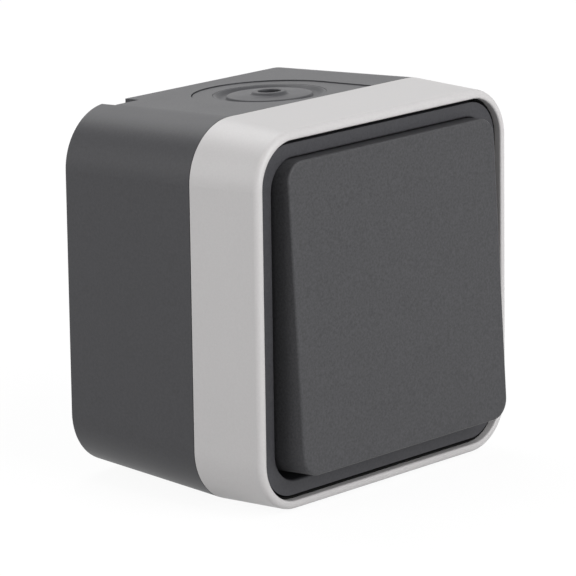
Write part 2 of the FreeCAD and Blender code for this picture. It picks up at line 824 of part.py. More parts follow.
def insert_base():
    """Moulded block with the contact chamber, the terminal pockets and the wire holes."""
    body = new_body("insert_base")
    block(body, size.insert_width, size.insert_length, size.base_depth, size.lid_depth,
          corner=size.insert_corner)
    block(body, size.chamber_width, size.chamber_length, size.strip_depth, size.lid_depth,
          removes=True)
    for across, up in terminal_places():
        block(body, size.pocket_size, size.pocket_size, size.strip_depth, size.lid_depth,
              (across, up), removes=True)
        block(body, size.pocket_size, size.strip_width + size.clip_gap, size.strip_depth,
              strip_top + size.strip_thickness, (across / 2, up), removes=True)
        level = -1 if up.number < 0 else 1
        edge = size.insert_length / 2
        high = edge if level > 0 else up
        wire = new_sketch(body, (across, window_middle, -high), "XZ_Plane")
        circle(wire, size.wire_radius)
        pocket(body, wire, edge - up * level)
    for level in (-1, 1):
        rod(body, size.rivet_radius + size.hole_play, size.base_depth, size.lid_depth,
            (0, size.rivet_place * level), removes=True)
    body.Placement = stand()
    return body


def insert_lid():
    """Plate on the block, with screw ears and the snap bearings of the rocker's shaft."""
    body = new_body("insert_lid")
    block(body, size.insert_width, size.insert_length, size.lid_depth, lid_top,
          corner=size.insert_corner)
    block(body, size.ear_reach * 2, size.ear_width, size.lid_depth, lid_top,
          corner=size.insert_corner)
    block(body, size.lid_opening_width, size.lid_opening_length, size.lid_depth, lid_top,
          removes=True)
    bearing_middle = size.bearing_place + size.bearing_width / 2
    for side in (-1, 1):
        block(body, size.bearing_width, size.bearing_length, lid_top,
              size.pivot_depth + size.bearing_rise, (bearing_middle * side, 0))
        rod(body, size.ear_hole, size.lid_depth, lid_top, (size.post_place * side, 0), removes=True)
        rod(body, size.rivet_radius + size.hole_play, size.lid_depth, lid_top,
            (0, size.rivet_place * side), removes=True)
    for place in terminal_places():
        rod(body, size.screw_access, size.lid_depth, lid_top, place, removes=True)
    far = size.bearing_place + size.bearing_width
    bore = new_sketch(body, (0, size.pivot_depth, -far), "YZ_Plane")
    circle(bore, size.shaft_radius + size.bearing_gap)
    pocket(body, bore, far * 2)
    body.Placement = stand()
    return body


def insert_screws():
    """Screws from the lid's ears into the box's posts."""
    body = new_body("insert_screws")
    head_top = lid_top + size.screw_head_height
    for side in (-1, 1):
        place = (size.post_place * side, 0)
        rod(body, size.screw_radius, size.screw_end, lid_top, place)
        rod(body, size.screw_head, lid_top, head_top, place)
        block(body, size.driver_slot, size.screw_head * 1.4, head_top - size.driver_slot_depth,
              head_top, place, removes=True)
        block(body, size.screw_head * 1.4, size.driver_slot, head_top - size.driver_slot_depth,
              head_top, place, removes=True)
    body.Placement = stand()
    return body


def insert_rivets():
    """Rivets that hold lid and block together."""
    body = new_body("insert_rivets")
    for level in (-1, 1):
        place = (0, size.rivet_place * level)
        rod(body, size.rivet_head, size.base_depth - size.rivet_head_height, size.base_depth, place)
        rod(body, size.rivet_radius, size.base_depth, lid_top, place)
        rod(body, size.rivet_head, lid_top, lid_top + size.rivet_head_height, place)
    body.Placement = stand()
    return body


def common_contact():
    """Strip from the single terminal to the ridge that the contact arm rocks on."""
    body = new_body("common_contact")
    block(body, size.strip_reach + size.strip_start, size.strip_width, size.strip_depth, strip_top,
          ((size.strip_start - size.strip_reach) / 2, 0))
    block(body, size.strip_start * 2, size.fulcrum_web, strip_top, size.fulcrum_depth)
    ridge = new_sketch(body, (0, size.fulcrum_depth, -size.strip_start), "YZ_Plane")
    circle(ridge, size.fulcrum_radius)
    pad(body, ridge, size.strip_start * 2)
    body.Placement = stand()
    return body


def fixed_contact(label, level):
    """Strip from the chamber to one of the paired terminals."""
    body = new_body(label)
    block(body, size.strip_reach + size.strip_start, size.strip_width, size.strip_depth, strip_top,
          ((size.strip_reach - size.strip_start) / 2, size.contact_place * level))
    body.Placement = stand()
    return body


def fixed_contact_tips():
    """Contact buttons on the paired strips."""
    body = new_body("fixed_contact_tips")
    for level in (-1, 1):
        rod(body, size.fixed_tip_radius, strip_top, strip_top + size.fixed_tip_height,
            (0, size.contact_place * level))
    body.Placement = stand()
    return body


def terminal_clamps():
    """Clamp cages that stand on the ends of the strips."""
    body = new_body("terminal_clamps")
    half = size.clamp_size / 2
    for across, up in terminal_places():
        block(body, size.clamp_size, size.clamp_size, strip_top, clamp_top, (across, up))
        window = new_sketch(body, (across, window_middle, -(up + half)), "XZ_Plane")
        rectangle(window, size.clamp_window, size.clamp_window)
        pocket(body, window, size.clamp_size)
        rod(body, size.terminal_screw + size.hole_play, window_middle, clamp_top, (across, up), removes=True)
    body.Placement = stand()
    return body


def terminal_screws():
    """Slotted screws in the clamp cages."""
    body = new_body("terminal_screws")
    tip = strip_top + size.clamp_wall + size.terminal_lift
    head_foot = clamp_top + size.clip_gap
    head_top = head_foot + size.terminal_head_height
    for place in terminal_places():
        rod(body, size.terminal_screw, tip, head_foot, place)
        rod(body, size.terminal_head, head_foot, head_top, place)
        block(body, size.driver_slot, size.terminal_head * 2, head_top - size.driver_slot_depth,
              head_top, place, removes=True)
    body.Placement = stand()
    return body


def rocker_cap():
    """Large square rocker: a hollow cap with ribs and four studs."""
    body = new_body("rocker_cap")
    roof = size.rocker_depth - size.rocker_roof
    block(body, size.rocker_size, size.rocker_size, size.rocker_foot, size.rocker_depth,
          corner=size.rocker_corner)
    fillet(body, size.rocker_round, lambda edge: lies_at(edge, size.rocker_depth))
    inside = size.rocker_size - size.rocker_wall * 2
    block(body, inside, inside, size.rocker_foot, roof, corner=size.rocker_corner - size.rocker_wall,
          removes=True)
    for side in (-1, 1):
        block(body, size.rib_thickness, inside + size.rocker_wall, roof - size.rib_height, roof,
              (size.stud_across * side, 0))
        block(body, inside + size.rocker_wall, size.rib_thickness, roof - size.rib_height, roof,
              (0, size.stud_up * side))
        for level in (-1, 1):
            rod(body, size.stud_radius, carrier_top, roof,
                (size.stud_across * side, size.stud_up * level))
    body.Placement = stand(-size.rocker_tilt, size.pivot_depth)
    return body


def rocker_carrier():
    """Plate, neck, shaft and plunger tube behind the rocker."""
    body = new_body("rocker_carrier")
    block(body, size.carrier_width, size.carrier_length, size.rocker_foot, carrier_top,
          corner=size.insert_corner)
    block(body, size.neck_width, size.neck_length, size.neck_depth, size.rocker_foot)
    shaft = new_sketch(body, (0, size.pivot_depth, -size.shaft_length / 2), "YZ_Plane")
    circle(shaft, size.shaft_radius)
    pad(body, shaft, size.shaft_length)
    rod(body, size.tube_radius, size.tube_depth, size.neck_depth)
    rod(body, size.bore_radius, size.tube_depth, size.bore_end, removes=True)
    body.Placement = stand(-size.rocker_tilt, size.pivot_depth)
    return body


def plunger():
    """Round-nosed pin that the spring presses towards the contact arm."""
    body = new_body("plunger")
    profile = new_sketch(body, (0, 0, 0), "XZ_Plane")
    round_nose(profile, size.plunger_radius, size.plunger_tip, size.plunger_end)
    turn(body, profile)
    body.Placement = stand(-size.rocker_tilt, size.pivot_depth)
    return body


def plunger_spring():
    """Coil spring of square wire between the plunger and the end of its bore."""
    body = new_body("plunger_spring")
    start = size.plunger_end + size.spring_gap + size.spring_wire / 2
    end = size.bore_end - size.spring_gap - size.spring_wire / 2
    wire = new_sketch(body, (size.spring_radius, start, 0), "XZ_Plane")
    rectangle(wire, size.spring_wire, size.spring_wire)
    coil = body.newObject("PartDesign::AdditiveHelix", "plunger_spring_coil")
    coil.Profile = wire
    coil.ReferenceAxis = (origin_plane(body, "Z_Axis"), [""])
    coil.Mode = "height-turns-angle"
    bind(coil, "Height", end - start)
    bind(coil, "Turns", size.spring_turns)
    body.Placement = stand(-size.rocker_tilt, size.pivot_depth)
    return body


def contact_arm():
    """See-saw contact that rocks on the common strip's ridge."""
    body = new_body("contact_arm")
    foot = size.fulcrum_depth + size.arm_rise
    block(body, size.arm_width, size.arm_length, foot, foot + size.arm_thickness)
    groove = new_sketch(body, (0, size.fulcrum_depth, -size.arm_width / 2), "YZ_Plane")
    circle(groove, size.arm_groove)
    pocket(body, groove, size.arm_width)
    body.Placement = stand(size.arm_tilt, size.fulcrum_depth)
    return body


def moving_contact_tips():
    """Contact buttons at the ends of the contact arm."""
    body = new_body("moving_contact_tips")
    foot = size.fulcrum_depth + size.arm_rise
    for level in (-1, 1):
        rod(body, size.moving_tip_radius, foot - size.moving_tip_height, foot,
            (0, size.contact_place * level))
    body.Placement = stand(size.arm_tilt, size.fulcrum_depth)
    return body


pieces = [
    back_box(),
    entry_slide("top_entry_slide", 1),
    entry_membrane("top_entry_membrane", 1),
    entry_slide("bottom_entry_slide", -1),
    entry_membrane("bottom_entry_membrane", -1),
    fixing_hole_seals(),
    cover_gasket(),
    cover_frame(),
    bezel(),
    rocker_seal(),
    insert_base(),
    insert_lid(),
    insert_screws(),
    insert_rivets(),
    common_contact(),
    fixed_contact("upper_fixed_contact", 1),
    fixed_contact("lower_fixed_contact", -1),
    fixed_contact_tips(),
    terminal_clamps(),
    terminal_screws(),
    rocker_cap(),
    rocker_carrier(),
    plunger(),
    plunger_spring(),
    contact_arm(),
    moving_contact_tips(),
]
doc.recompute()

for item in doc.Objects:
    if "Invalid" in item.State or "Error" in item.State:
        raise RuntimeError("%s failed: %s" % (item.Name, item.State))
for piece in pieces:
    if piece.Shape.isNull() or not piece.Shape.isValid():
        raise RuntimeError("%s has no valid shape" % piece.Label)

os.makedirs("parts", exist_ok=True)
for piece in pieces:
    piece.Shape.exportStep(os.path.join("parts", piece.Label + ".step"))
    box = piece.Shape.BoundBox
    print("%-24s solids %d  volume %9.1f  y %7.2f %7.2f  z %7.2f %7.2f" % (
        piece.Label, len(piece.Shape.Solids), piece.Shape.Volume, box.YMin, box.YMax, box.ZMin, box.ZMax))
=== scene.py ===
"""Looks of a surface-mounted weatherproof rocker switch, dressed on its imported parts."""

import json
import logging
import math
from collections.abc import Callable, Iterable
from dataclasses import dataclass
from enum import Enum
from typing import Any

import bpy
from mathutils import Matrix, Vector


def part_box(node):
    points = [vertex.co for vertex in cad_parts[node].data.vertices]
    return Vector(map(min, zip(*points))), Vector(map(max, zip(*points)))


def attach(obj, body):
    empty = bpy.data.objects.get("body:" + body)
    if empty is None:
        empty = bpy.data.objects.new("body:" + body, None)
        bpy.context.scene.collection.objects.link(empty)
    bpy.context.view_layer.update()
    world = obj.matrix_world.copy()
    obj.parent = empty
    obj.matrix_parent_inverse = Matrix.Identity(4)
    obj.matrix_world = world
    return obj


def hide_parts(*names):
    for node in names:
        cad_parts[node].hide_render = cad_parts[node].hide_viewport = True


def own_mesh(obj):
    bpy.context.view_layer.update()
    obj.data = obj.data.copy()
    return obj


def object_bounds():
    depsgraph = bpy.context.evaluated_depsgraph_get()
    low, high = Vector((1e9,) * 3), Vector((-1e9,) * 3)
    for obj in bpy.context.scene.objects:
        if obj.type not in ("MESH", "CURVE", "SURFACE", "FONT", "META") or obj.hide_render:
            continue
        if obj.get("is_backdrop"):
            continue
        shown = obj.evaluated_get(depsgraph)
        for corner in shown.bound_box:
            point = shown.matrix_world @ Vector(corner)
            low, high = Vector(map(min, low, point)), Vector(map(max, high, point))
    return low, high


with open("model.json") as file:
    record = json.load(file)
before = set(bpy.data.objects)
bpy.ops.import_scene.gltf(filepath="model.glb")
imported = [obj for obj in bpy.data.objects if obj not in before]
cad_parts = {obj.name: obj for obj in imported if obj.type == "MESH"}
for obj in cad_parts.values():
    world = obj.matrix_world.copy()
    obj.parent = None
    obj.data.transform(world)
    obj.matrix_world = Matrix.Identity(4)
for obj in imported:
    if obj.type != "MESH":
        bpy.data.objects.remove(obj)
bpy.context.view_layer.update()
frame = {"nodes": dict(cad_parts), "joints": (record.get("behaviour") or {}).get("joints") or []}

MM = 0.001
WELD = 0.002 * MM
CORNER_STEPS = 8
ROUND_STEPS = 4
MEAN = 0.5
USUAL_IOR = 1.5
SMOOTH_RUBBER = 50
SMOOTH_SEAL = 40
SMOOTH_METAL = 35
SMOOTH_WIRE = 60
UPRIGHT = Matrix.Rotation(math.radians(90), 4, "X")

Colour = tuple[float, float, float, float]
Outline = list[tuple[float, float, float]]

log = logging.getLogger("switch")


def display(red: float, green: float, blue: float) -> Colour:
    """Turn a colour as a screen shows it, from 0 to 255, into the shader's linear colour.

    Args:
        red: Red on the screen.
        green: Green on the screen.
        blue: Blue on the screen.

    Returns:
        The linear colour with full alpha.
    """
    def to_linear(level: float) -> float:
        """Undo the screen's curve for one channel."""
        share = level / 255
        return share / 12.92 if share <= 0.04045 else ((share + 0.055) / 1.055) ** 2.4

    return (to_linear(red), to_linear(green), to_linear(blue), 1.0)


class Wire:
    """An output socket of a material, whose arithmetic adds Math nodes."""

    def __init__(self, board: "Board", socket: bpy.types.NodeSocket) -> None:
        """Keep the socket and the board that it belongs to."""
        self.board = board
        self.socket = socket

    def _math(self, operation: str, first: Any, second: Any) -> "Wire":
        """Join two values with one Math node."""
        return self.board.add("ShaderNodeMath", {"operation": operation}, {0: first, 1: second})

    def __add__(self, other: Any) -> "Wire":
        """Add a value or a wire."""
        return self._math("ADD", self, other)

    def __radd__(self, other: Any) -> "Wire":
        """Add this wire to a value."""
        return self._math("ADD", other, self)

    def __sub__(self, other: Any) -> "Wire":
        """Take a value or a wire away."""
        return self._math("SUBTRACT", self, other)

    def __rsub__(self, other: Any) -> "Wire":
        """Take this wire away from a value."""
        return self._math("SUBTRACT", other, self)

    def __mul__(self, other: Any) -> "Wire":
        """Multiply by a value or a wire."""
        return self._math("MULTIPLY", self, other)

    def __rmul__(self, other: Any) -> "Wire":
        """Multiply a value by this wire."""
        return self._math("MULTIPLY", other, self)

    def or_more(self, other: Any) -> "Wire":
        """The larger of this wire and a value or a wire."""
        return self._math("MAXIMUM", self, other)


class Board:
    """The node board of one material or of the world."""

    def __init__(self, tree: bpy.types.NodeTree) -> None:
        """Clear the tree and keep it."""
        self.tree = tree
        tree.nodes.clear()

    @classmethod
    def of_material(cls, name: str) -> tuple["Board", bpy.types.Material]:
        """Make a new material and its board.

        Args:
            name: The material's name.

        Returns:
            The board and the material.
        """
        material = bpy.data.materials.new(name)
        material.use_nodes = True
        return cls(material.node_tree), material

    def add(self, kind: str, settings: dict[str, Any] | None = None,
            inputs: dict[Any, Any] | None = None, output: int | str = 0) -> Wire:
        """Add one node.

        Args:
            kind: The node's type.
            settings: Properties that are set first; "stops" fills a colour ramp.
            inputs: Values or wires by the socket's name or number.
            output: The output socket that the wire stands for.

        Returns:
            The wire of that output.
        """
        node = self.tree.nodes.new(kind)
        for key, setting in (settings or {}).items():
            if key == "stops":
                ramp = node.color_ramp.elements
                while len(ramp) < len(setting):
                    ramp.new(1.0)
                for stop, (place, colour) in zip(ramp, setting):
                    stop.position = place
                    stop.color = colour
            else:
                setattr(node, key, setting)
        for key, given in (inputs or {}).items():
            if isinstance(given, Wire):
                self.tree.links.new(given.socket, node.inputs[key])
            else:
                node.inputs[key].default_value = given
        return Wire(self, node.outputs[output] if node.outputs else None)

    def places(self) -> Wire:
        """Object coordinates, which are metres in the switch's own frame."""
        return self.add("ShaderNodeTexCoord", output="Object")

    def noise(self, grain: float, detail: float = 2.0, roughness: float = 0.5,
              stretch: tuple[float, float, float] = (1.0, 1.0, 1.0)) -> Wire:
        """Noise whose blots are about one grain across.

        Args:
            grain: Size of a blot in metres.
            detail: Number of finer layers.
            roughness: Strength of the finer layers.
            stretch: How many times finer the pattern is along each axis.

        Returns:
            The noise factor, about a half on average.
        """
        vector = self.add("ShaderNodeMapping", inputs={"Vector": self.places(), "Scale": stretch})
        return self.add("ShaderNodeTexNoise", inputs={
            "Vector": vector, "Scale": 1 / grain, "Detail": detail, "Roughness": roughness,
        }, output="Fac")

    def blend(self, share: Wire, start: Colour, end: Colour) -> Wire:
        """Colour that goes from start to end as share goes from 0 to 1."""
        return self.add("ShaderNodeMix", {"data_type": "RGBA"}, {0: share, 6: start, 7: end}, output=2)

    def relief(self, height: Wire, depth: float) -> Wire:
        """Bumped normal of a height pattern from 0 to 1 that stands up by depth, in metres."""
        inputs = {"Height": height, "Distance": depth, "Strength": 1.0}
        return self.add("ShaderNodeBump", inputs=inputs, output="Normal")

    def rays(self, *kinds: str) -> Wire:
        """Tell some kinds of light path, such as "Is Camera Ray", from all others.

        Args:
            kinds: Outputs of the light path node.

        Returns:
            1 on a path of any of these kinds, and 0 on others.
        """
        seen = self.add("ShaderNodeLightPath", output=kinds[0])
        for kind in kinds[1:]:
            seen = seen.or_more(self.add("ShaderNodeLightPath", output=kind))
        return seen

    def finish(self, **sockets: Any) -> None:
        """Close a surface with a Principled shader whose sockets are given by their words.

        Args:
            sockets: A value or a wire by each socket's name, such as base_color.
        """
        words = {key.replace("_", " ").title(): given for key, given in sockets.items()}
        words["IOR"] = words.pop("Ior", USUAL_IOR)
        surface = self.add("ShaderNodeBsdfPrincipled", inputs=words)
        self.add("ShaderNodeOutputMaterial", inputs={"Surface": surface})


def varied(colour: Colour, share: float) -> Colour:
    """Make a colour lighter, or darker when share is negative."""
    return tuple(channel * (1 + share) for channel in colour[:3]) + (1.0,)


@dataclass(frozen=True)
class MouldedPlastic:
    """Moulded plastic with an eroded grain and a faint mottle."""

    name: str
    colour: Colour
    roughness: float = 0.5
    grain: float = 0.4 * MM
    grain_depth: float = 0.008 * MM
    grain_detail: float = 0.6
    grain_dulling: float = 0.12
    speckle: float = 0.1
    mottle: float = 0.03
    patch: float = 12 * MM
    patch_dulling: float = 0.06
    contrast: float = 3.0
    ior: float = USUAL_IOR

    def make(self) -> bpy.types.Material:
        """Build the material, whose grain and patches share one swing about the colour.

        Returns:
            The material.
        """
        board, material = Board.of_material(self.name)
        fine = board.noise(self.grain, roughness=self.grain_detail)
        broad = board.noise(self.patch)
        swing = self.speckle + self.mottle
        grain = (fine - MEAN) * (self.contrast * self.speckle / swing)
        share = MEAN + grain + (broad - MEAN) * (self.mottle / swing)
        rough = self.roughness + (fine - MEAN) * self.grain_dulling
        board.finish(
            base_color=board.blend(share, varied(self.colour, -swing), varied(self.colour, swing)),
            roughness=rough + (broad - MEAN) * self.patch_dulling,
            ior=self.ior,
            normal=board.relief(fine, self.grain_depth),
        )
        return material


@dataclass(frozen=True)
class Rubber:
    """Soft moulded rubber with a fine dull bloom."""

    name: str
    colour: Colour
    roughness: float = 0.62
    pores: float = 0.35 * MM
    pore_depth: float = 0.005 * MM
    patch: float = 4 * MM
    bloom: float = 0.06
    bloom_dulling: float = 0.14
    ior: float = USUAL_IOR

    def make(self) -> bpy.types.Material:
        """Build the material.

        Returns:
            The material.
        """
        board, material = Board.of_material(self.name)
        fine = board.noise(self.pores)
        broad = board.noise(self.patch, detail=3.0)
        board.finish(
            base_color=board.blend(broad, varied(self.colour, -self.bloom), varied(self.colour, self.bloom)),
            roughness=self.roughness + (broad - MEAN) * self.bloom_dulling,
            ior=self.ior,
            normal=board.relief(fine, self.pore_depth),
        )
        return material


@dataclass(frozen=True)
class Metal:
    """Stamped, drawn or plated metal with fine draw lines."""

    name: str
    colour: Colour
    roughness: float = 0.32
    stretch: tuple[float, float, float] = (1.0, 1.0, 9.0)
    line: float = 0.9 * MM
    line_depth: float = 0.004 * MM
    line_detail: float = 0.6
    line_dulling: float = 0.2
    patch: float = 3 * MM
    tarnished: float = -0.14
    bright: float = 0.05
    tarnish_dulling: float = 0.1

    def make(self) -> bpy.types.Material:
        """Build the material.

        Returns:
            The material.
        """
        board, material = Board.of_material(self.name)
        lines = board.noise(self.line, detail=4.0, roughness=self.line_detail, stretch=self.stretch)
        worn = board.noise(self.patch, detail=3.0)
        dark, light = varied(self.colour, self.tarnished), varied(self.colour, self.bright)
        rough = self.roughness + (lines - MEAN) * self.line_dulling
        board.finish(
            base_color=board.blend(worn, dark, light),
            metallic=1.0,
            roughness=rough + (worn - MEAN) * self.tarnish_dulling,
            normal=board.relief(lines, self.line_depth),
        )
        return material


class Finishes(Enum):
    """The finishes of the switch."""

    BOX = MouldedPlastic("box_plastic", display(51, 51, 54), roughness=0.44, grain=0.5 * MM,
                         speckle=0.14, ior=1.4)
    MEMBRANE = Rubber("entry_rubber", display(58, 58, 61), roughness=0.46, ior=1.4)
    # Black seal rubber; the same black on the diaphragm's sleeve stands in as painted shade in the lip's
    # gap.
    SEAL = Rubber("seal_rubber", display(12, 12, 12), roughness=0.8, ior=1.2)
    FRAME = MouldedPlastic("frame_plastic", display(187, 185, 185), roughness=0.42,
                           grain=0.4 * MM, grain_depth=0.002 * MM, speckle=0.022, mottle=0.012)
    BEZEL = MouldedPlastic("bezel_plastic", display(61, 61, 64), roughness=0.5, speckle=0.12, ior=1.3)
    INSERT = MouldedPlastic("insert_plastic", display(216, 213, 202), roughness=0.4, speckle=0.02)
    STEEL = Metal("plated_steel", display(176, 178, 182))
    CONTACT_BRASS = Metal("contact_brass", display(204, 168, 98), stretch=(6.0, 1.0, 1.0))
    CONTACT_TIP = Metal("contact_silver", display(214, 212, 206), roughness=0.24)
    ROCKER = MouldedPlastic("rocker_plastic", display(64, 64, 66), roughness=0.5, grain=0.48 * MM,
                            speckle=0.175, ior=1.3)
    CARRIER = MouldedPlastic("carrier_plastic", display(210, 207, 198), roughness=0.42, speckle=0.02)


class Palette:
    """Makes each finish once and puts it on pieces."""

    def __init__(self) -> None:
        """Start with no material made."""
        self._made: dict[Finishes, bpy.types.Material] = {}

    def paint(self, piece: bpy.types.Object, finish: Finishes) -> None:
        """Give every material slot of a piece one finish.

        Args:
            piece: The piece to paint.
            finish: The finish that it gets.
        """
        if finish not in self._made:
            self._made[finish] = finish.value.make()
        if not piece.material_slots:
            piece.data.materials.append(None)
        for holder in piece.material_slots:
            holder.material = self._made[finish]


class Bench:
    """Modelling by hand: one piece at a time, in edit mode."""

    @staticmethod
    def clear() -> None:
        """Deselect everything."""
        if bpy.context.object is not None and bpy.context.object.mode != "OBJECT":
            bpy.ops.object.mode_set(mode="OBJECT")
        bpy.ops.object.select_all(action="DESELECT")

    @staticmethod
    def active() -> bpy.types.Object:
        """The piece being modelled."""
        return bpy.context.object

    @classmethod
    def pick(cls, kind: str, test: Callable[[Any], bool]) -> None:
        """Select points, edges or faces of the piece by a test, and nothing else.

        Args:
            kind: "VERT", "EDGE" or "FACE".
            test: Says whether an element is picked.
        """
        bpy.ops.mesh.select_mode(type=kind)
        bpy.ops.mesh.select_all(action="DESELECT")
        bpy.ops.object.mode_set(mode="OBJECT")
        data = cls.active().data
        for element in {"VERT": data.vertices, "EDGE": data.edges, "FACE": data.polygons}[kind]:
            element.select = test(element)
        bpy.ops.object.mode_set(mode="EDIT")

    @classmethod
    def add(cls, name: str) -> None:
        """Name the primitive just added, put its place in its mesh and open it for modelling.

        Args:
            name: The piece's name.
        """
        cls.active().name = name
        cls.active().data.name = name
        bpy.ops.object.transform_apply(location=True, rotation=True, scale=True)
        bpy.ops.object.mode_set(mode="EDIT")

    @classmethod
    def drawn(cls, name: str, outline: Outline, closed: bool) -> None:
        """Draw an outline beside the bench's upright axis, by extruding a point along it.

        Args:
            name: The piece's name.
            outline: Radius, height and rounding of each corner.
            closed: Whether the last corner joins the first.
        """
        cls.clear()
        corners = [Vector((radius, 0, height)) for radius, height, _ in outline]
        bpy.ops.mesh.primitive_plane_add(size=MM, location=corners[0])
        cls.add(name)
        bpy.ops.mesh.select_mode(type="VERT")
        bpy.ops.mesh.select_all(action="SELECT")
        bpy.ops.mesh.merge(type="CENTER")
        for start, end in zip(corners, corners[1:] + corners[:1] * closed):
            bpy.ops.mesh.extrude_vertices_move(TRANSFORM_OT_translate={"value": end - start})
        cls.weld()
        for corner, (_, _, rounding) in zip(corners, outline):
            if rounding:
                cls.pick("VERT", lambda point, at=corner: (point.co - at).length < WELD)
                bpy.ops.mesh.bevel(offset=rounding, segments=ROUND_STEPS, affect="VERTICES")

    @classmethod
    def weld(cls) -> None:
        """Merge the points of the piece that lie on each other."""
        bpy.ops.mesh.select_all(action="SELECT")
        bpy.ops.mesh.remove_doubles(threshold=WELD)

    @classmethod
    def turned(cls, name: str, outline: Outline, steps: int, closed: bool = False) -> None:
        """Turn an outline about the bench's upright axis.

        Args:
            name: The piece's name.
            outline: Radius, height and rounding of each corner.
            steps: Number of sides.
            closed: True for a ring; otherwise the outline starts and ends on the axis.
        """
        cls.drawn(name, outline, closed)
        bpy.ops.mesh.select_all(action="SELECT")
        bpy.ops.mesh.spin(steps=steps, angle=math.tau, center=(0, 0, 0), axis=(0, 0, 1))
        cls.weld()
        bpy.ops.mesh.normals_make_consistent(inside=False)

    @classmethod
    def plate(cls, name: str, width: float, height: float, corner: float, level: float) -> None:
        """Add a level face with round corners, and leave it selected.

        Args:
            name: The piece's name.
            width: Its size across.
            height: Its size up.
            corner: Radius of its corners.
            level: Its distance from the wall.
        """
        cls.clear()
        bpy.ops.mesh.primitive_plane_add(size=1, location=(0, 0, level))
        cls.active().scale = (width, height, 1)
        cls.add(name)
        bpy.ops.mesh.select_mode(type="VERT")
        bpy.ops.mesh.select_all(action="SELECT")
        bpy.ops.mesh.bevel(offset=corner, segments=CORNER_STEPS, affect="VERTICES")
        bpy.ops.mesh.select_mode(type="FACE")
        bpy.ops.mesh.select_all(action="SELECT")

    @classmethod
    def ring(cls, name: str, width: float, corner: float, wall: float, low: float, high: float,
             rounding: float) -> None:
        """Model a square ring with round corners and a rounded rim.

        Args:
            name: The piece's name.
            width: Its outer size.
            corner: Radius of its outer corners.
            wall: Width of its band.
            low: Its foot's distance from the wall.
            high: Its rim's distance from the wall.
            rounding: How far the rim's edges are rounded.
        """
        cls.plate(name, width, width, corner, low)
        bpy.ops.mesh.inset(thickness=wall)
        bpy.ops.mesh.delete(type="FACE")
        bpy.ops.mesh.select_all(action="SELECT")
        bpy.ops.mesh.extrude_region_move(TRANSFORM_OT_translate={"value": (0, 0, high - low)})
        bpy.ops.mesh.select_all(action="SELECT")
        bpy.ops.mesh.normals_make_consistent(inside=False)
        data = cls.active().data

        def on_rim(edge: bpy.types.MeshEdge) -> bool:
            """Tell the edges along the raised rim, which part a flank from the rim, from the others.

            Args:
                edge: An edge of the ring.

            Returns:
                Whether it is to be rounded.
            """
            ends = [data.vertices[index].co for index in edge.vertices]
            level = all(abs(co.z - high) < WELD for co in ends)
            return level and abs((ends[0] - ends[1]).length - wall) > WELD

        cls.pick("EDGE", on_rim)
        bpy.ops.mesh.bevel(offset=rounding, segments=ROUND_STEPS, affect="EDGES")

    @classmethod
    def repeat(cls, places: Iterable[tuple[float, float]]) -> None:
        """Copy the piece to each place on the bench, and join the copies into one piece.

        Args:
            places: How far across and how far up each copy goes.
        """
        bpy.ops.object.mode_set(mode="OBJECT")
        first = cls.active()
        name = first.name
        copies = []
        for across, up in places:
            cls.choose(first)
            bpy.ops.object.duplicate(linked=False)
            cls.active().location = (across, up, 0)
            bpy.ops.object.transform_apply(location=True, rotation=True, scale=True)
            copies.append(cls.active())
        cls.choose(first)
        bpy.ops.object.delete()
        cls.join(name, *copies)

    @classmethod
    def choose(cls, *pieces: bpy.types.Object) -> None:
        """Select these pieces alone, the first as the active one.

        Args:
            pieces: The pieces.
        """
        cls.clear()
        for piece in pieces:
            piece.select_set(True)
        bpy.context.view_layer.objects.active = pieces[0]

    @classmethod
    def join(cls, name: str, *pieces: bpy.types.Object) -> None:
        """Join pieces into one and name it.

        Args:
            name: The joined piece's name.
            pieces: The pieces, the first of which takes the others in.
        """
        cls.choose(*pieces)
        if len(pieces) > 1:
            bpy.ops.object.join()
        cls.active().name = name
        cls.active().data.name = name

    @classmethod
    def apply(cls, kind: str, **settings: Any) -> None:
        """Add a modifier to the piece, set it and apply it.

        Args:
            kind: The modifier's type.
            settings: Its properties.
        """
        bpy.ops.object.mode_set(mode="OBJECT")
        modifier = cls.active().modifiers.new(kind.lower(), kind)
        for key, setting in settings.items():
            setattr(modifier, key, setting)
        bpy.ops.object.modifier_apply(modifier=modifier.name)

    @classmethod
    def close_holes(cls) -> None:
        """Fill the open ends of the piece and turn its faces outwards."""
        bpy.ops.object.mode_set(mode="EDIT")
        cls.weld()
        bpy.ops.mesh.fill_holes(sides=0)
        bpy.ops.mesh.select_all(action="SELECT")
        bpy.ops.mesh.normals_make_consistent(inside=False)
        bpy.ops.object.mode_set(mode="OBJECT")

    @classmethod
    def wound(cls, name: str, radius: float, wire: float, low: float, high: float, turns: int,
              sides: int, steps: int) -> bpy.types.Object:
        """Wind a wire, or the ridge of a thread, about the bench's upright axis.

        Args:
            name: The piece's name.
            radius: Distance of the wire's middle from the axis.
            wire: Radius of the wire.
            low: Height where it starts.
            high: Height where it ends.
            turns: Number of turns.
            sides: Number of sides of the wire's section.
            steps: Number of steps in a turn.

        Returns:
            The piece, in object mode.
        """
        cls.clear()
        bpy.ops.mesh.primitive_circle_add(vertices=sides, radius=wire, location=(radius, 0, low),
                                          rotation=(math.pi / 2, 0, 0))
        cls.add(name)
        cls.apply("SCREW", axis="Z", angle=math.tau, screw_offset=(high - low) / turns,
                  iterations=turns, steps=steps, render_steps=steps)
        cls.close_holes()
        return cls.active()

    @classmethod
    def settle(cls, place: Matrix, smooth_angle: float) -> bpy.types.Object:
        """Put the piece in its place, with the place in its mesh, and smooth its shading.

        Args:
            place: Where the bench's origin goes in the switch's frame.
            smooth_angle: Edges flatter than this many degrees are shaded smooth.

        Returns:
            The finished piece.
        """
        bpy.ops.object.mode_set(mode="OBJECT")
        piece = cls.active()
        cls.choose(piece)
        piece.matrix_world = place
        bpy.ops.object.transform_apply(location=True, rotation=True, scale=True)
        bpy.ops.object.shade_smooth_by_angle(angle=math.radians(smooth_angle))
        return piece


